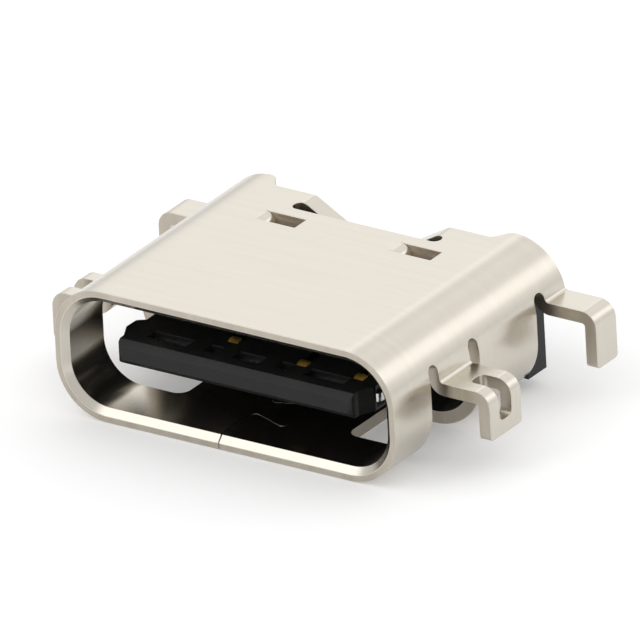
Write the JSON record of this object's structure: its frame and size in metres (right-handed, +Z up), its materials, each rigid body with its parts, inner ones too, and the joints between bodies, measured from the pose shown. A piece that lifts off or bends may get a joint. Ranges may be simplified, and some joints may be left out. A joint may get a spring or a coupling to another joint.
{
  "type": "usb-c socket",
  "caption": "Mid-mount USB-C power socket: a formed metal shell with through-board legs around a black tongue that carries gold contacts.",
  "frame": {"origin": "centre of the whole part's box, on the underside of the shell", "axes": "+X across the mouth to the right when looking into it, -Y out of the mouth, +Z up away from the seam"},
  "size_m": [0.0116, 0.0074, 0.0032],
  "materials": {
    "shell_metal": "satin nickel over formed sheet, faintly warm",
    "black_moulding": "fine matt black moulding",
    "plate_metal": "plain punched sheet",
    "contact_gold": "thin bright gold plating"
  },
  "bodies": {
    "root": {"shell": "shell_metal", "housing": "black_moulding", "latch_plate": "plate_metal", "contact_a5": "contact_gold", "contact_a9": "contact_gold", "contact_a12": "contact_gold", "contact_b5": "contact_gold", "contact_b9": "contact_gold", "contact_b12": "contact_gold"}
  },
  "joints": []
}
